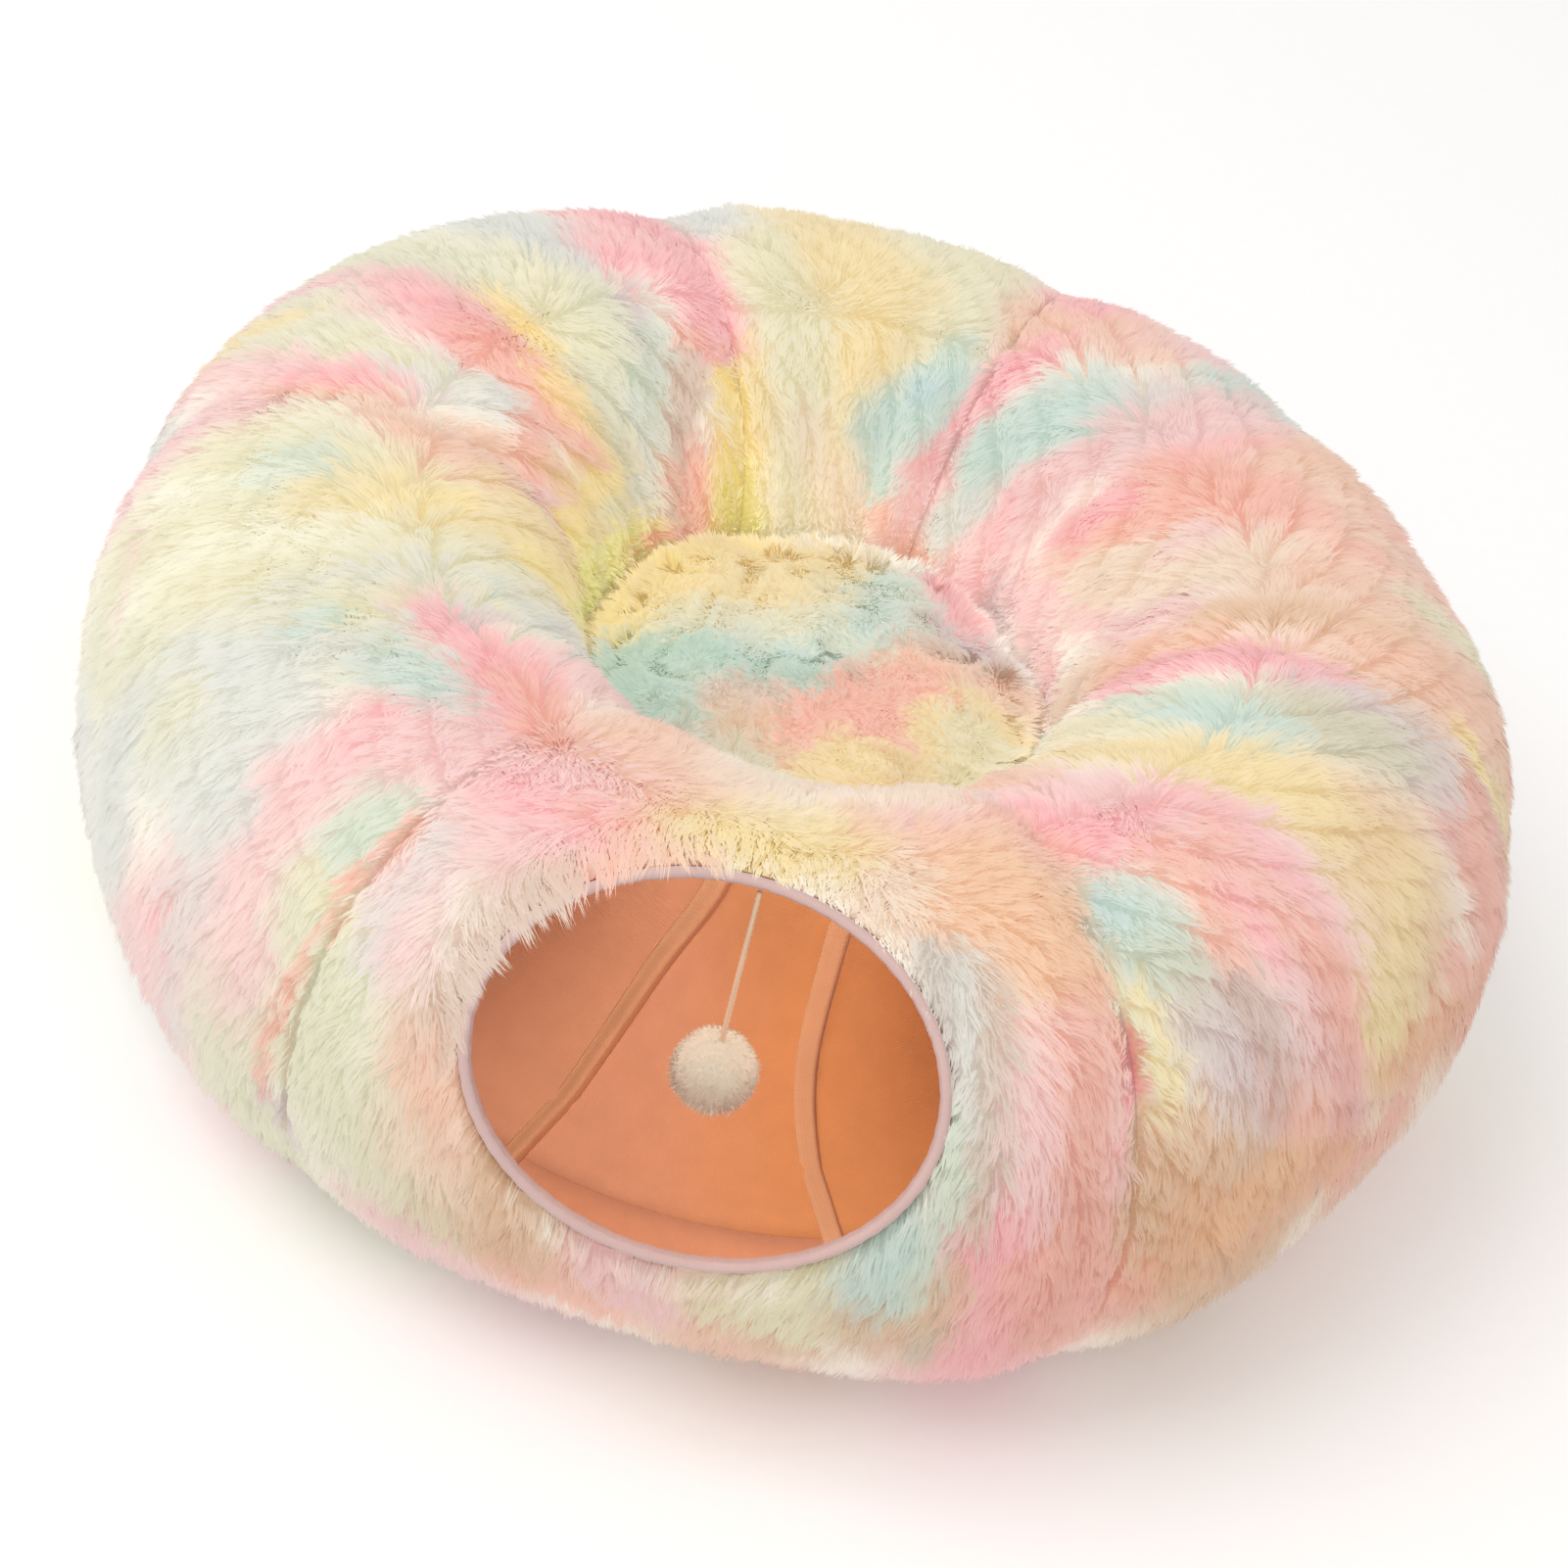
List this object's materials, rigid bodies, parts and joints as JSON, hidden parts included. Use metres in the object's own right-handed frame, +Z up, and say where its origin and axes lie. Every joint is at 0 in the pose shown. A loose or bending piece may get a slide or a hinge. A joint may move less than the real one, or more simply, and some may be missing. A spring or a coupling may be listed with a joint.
{
  "type": "cat tunnel bed",
  "caption": "Ring-shaped plush tunnel bed for a cat, with long pile outside, a woven lining, an oval bound opening with a hanging pompom, and a filled cushion in the middle.",
  "frame": {"origin": "on the floor at the middle of the ring", "axes": "+Z up, -Y from the middle towards the opening, +X to the right of someone who faces the opening"},
  "size_m": [0.7883, 0.7917, 0.296],
  "materials": {
    "long_pile": "long soft pile, dyed in soft pastel patches",
    "lining_cloth": "plain weave, matt",
    "casing_cloth": "plain weave, matt, folded and sewn",
    "binding_cloth": "narrow folded tape, matt",
    "string": "twisted yarn, matt",
    "pompom_yarn": "fluffy cut yarn",
    "cushion_pile": "short soft pile, dyed in soft pastel patches"
  },
  "bodies": {
    "root": {"panel_front": "long_pile", "panel_right": "long_pile", "panel_back_right": "long_pile", "panel_back": "long_pile", "panel_back_left": "long_pile", "panel_left": "long_pile", "lining": "lining_cloth", "rib_casing_left": "casing_cloth", "rib_casing_right": "casing_cloth", "opening_binding": "binding_cloth", "pompom_string": "string", "pompom": "pompom_yarn", "cushion": "cushion_pile"}
  },
  "joints": []
}
